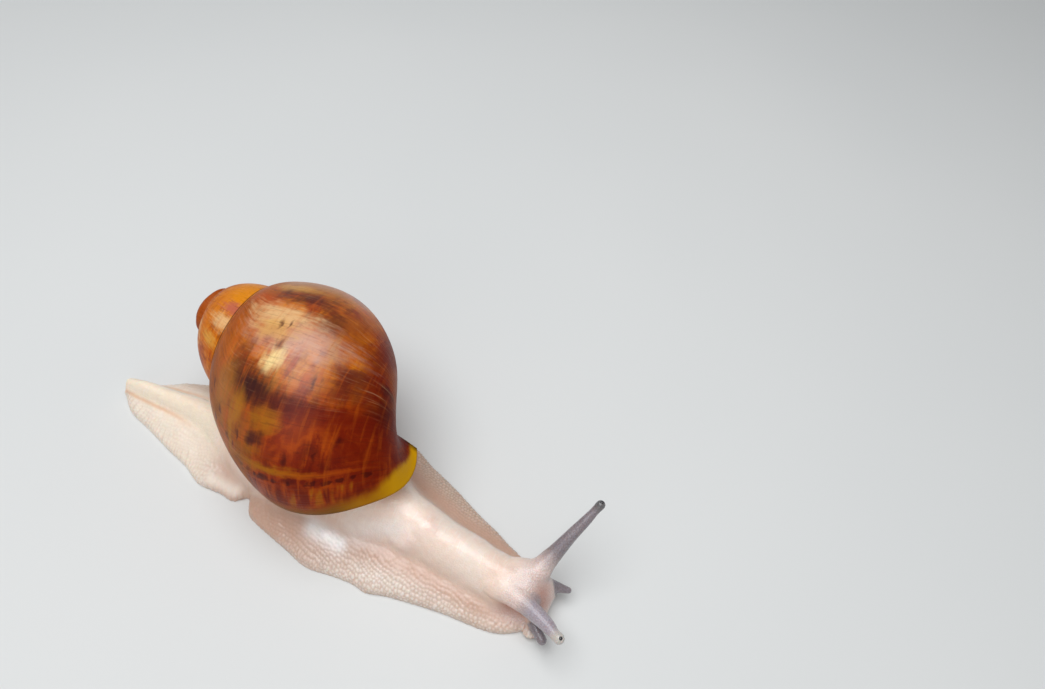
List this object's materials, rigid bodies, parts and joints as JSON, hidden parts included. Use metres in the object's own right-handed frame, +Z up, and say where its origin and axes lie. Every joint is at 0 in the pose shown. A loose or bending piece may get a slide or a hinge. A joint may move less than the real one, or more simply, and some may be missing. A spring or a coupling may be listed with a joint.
{
  "type": "giant african land snail",
  "caption": "Crawling giant land snail, eye stalks out, carrying a glossy coiled brown shell with a yellow lip.",
  "frame": {"origin": "on the ground under the middle of the bounding box", "axes": "the snail heads towards -Y, its right side is towards -X, and +Z is up"},
  "size_m": [0.0442, 0.1092, 0.0395],
  "materials": {
    "shell_horn": "glossy",
    "foot_skin": "moist, pebbled",
    "head_skin": "moist, fine-grained",
    "tentacle_skin": "moist",
    "mantle_skin": "moist",
    "eye_dark": "glossy"
  },
  "bodies": {
    "root": {"head": "head_skin", "neck": "foot_skin", "back": "foot_skin", "foot_front": "foot_skin", "foot_rear": "foot_skin", "tail": "foot_skin", "mantle_collar": "mantle_skin", "shell": "shell_horn", "tentacle_upper_left": "tentacle_skin", "tentacle_upper_right": "tentacle_skin", "tentacle_lower_left": "tentacle_skin", "tentacle_lower_right": "tentacle_skin", "mouth_lobe_left": "head_skin", "mouth_lobe_right": "head_skin", "eye_left": "eye_dark", "eye_right": "eye_dark"}
  },
  "joints": []
}
